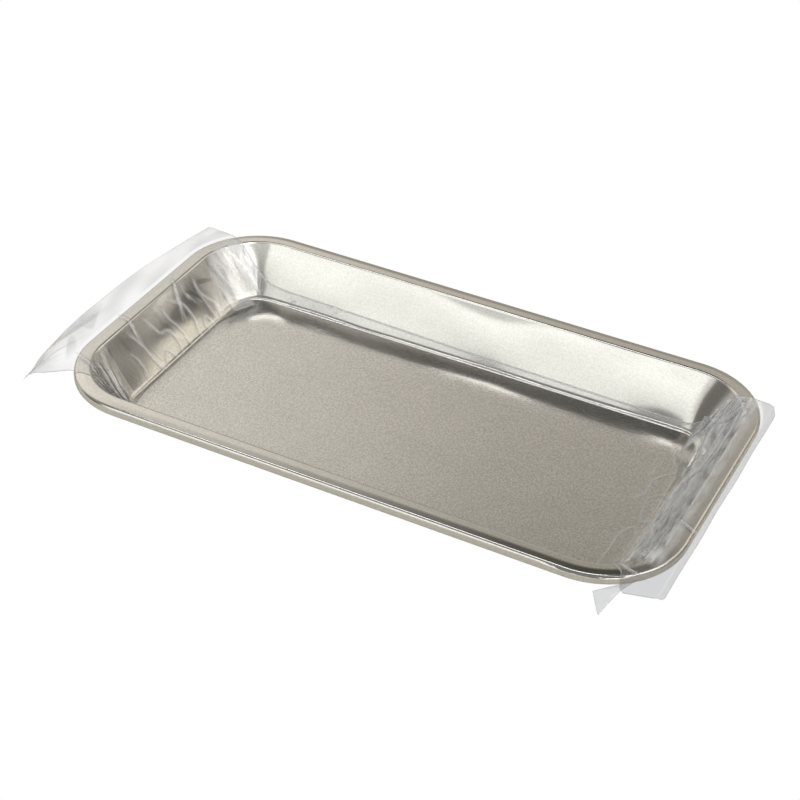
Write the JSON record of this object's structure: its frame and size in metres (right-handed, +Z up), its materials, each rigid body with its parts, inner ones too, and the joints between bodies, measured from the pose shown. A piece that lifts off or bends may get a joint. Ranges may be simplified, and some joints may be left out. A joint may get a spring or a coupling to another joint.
{
  "type": "instrument tray",
  "caption": "Shallow rounded-rectangle stainless pan with flared walls and a turned-down rim, holding a loose clear liner film that laps over both ends.",
  "frame": {"origin": "centre of the flat underside of the pan's floor, which is what the tray stands on", "axes": "+X along the tray's length, +Y across it, towards the side where the liner's edge lies lower on the wall, +Z up out of the open top"},
  "size_m": [0.2469, 0.124, 0.0194],
  "materials": {
    "stainless": "satin rolled stainless steel, lightly scratched by use",
    "clear_film": "thin clear glossy film, crumpled at the ends"
  },
  "bodies": {
    "tray": {"tray_pan": "stainless"},
    "liner": {"liner_film": "clear_film"}
  },
  "joints": [
    {"name": "liner_lift", "type": "slide", "parent": "tray", "child": "liner", "axis": [0, 0, 1], "range_m": [0, 0.04]}
  ]
}
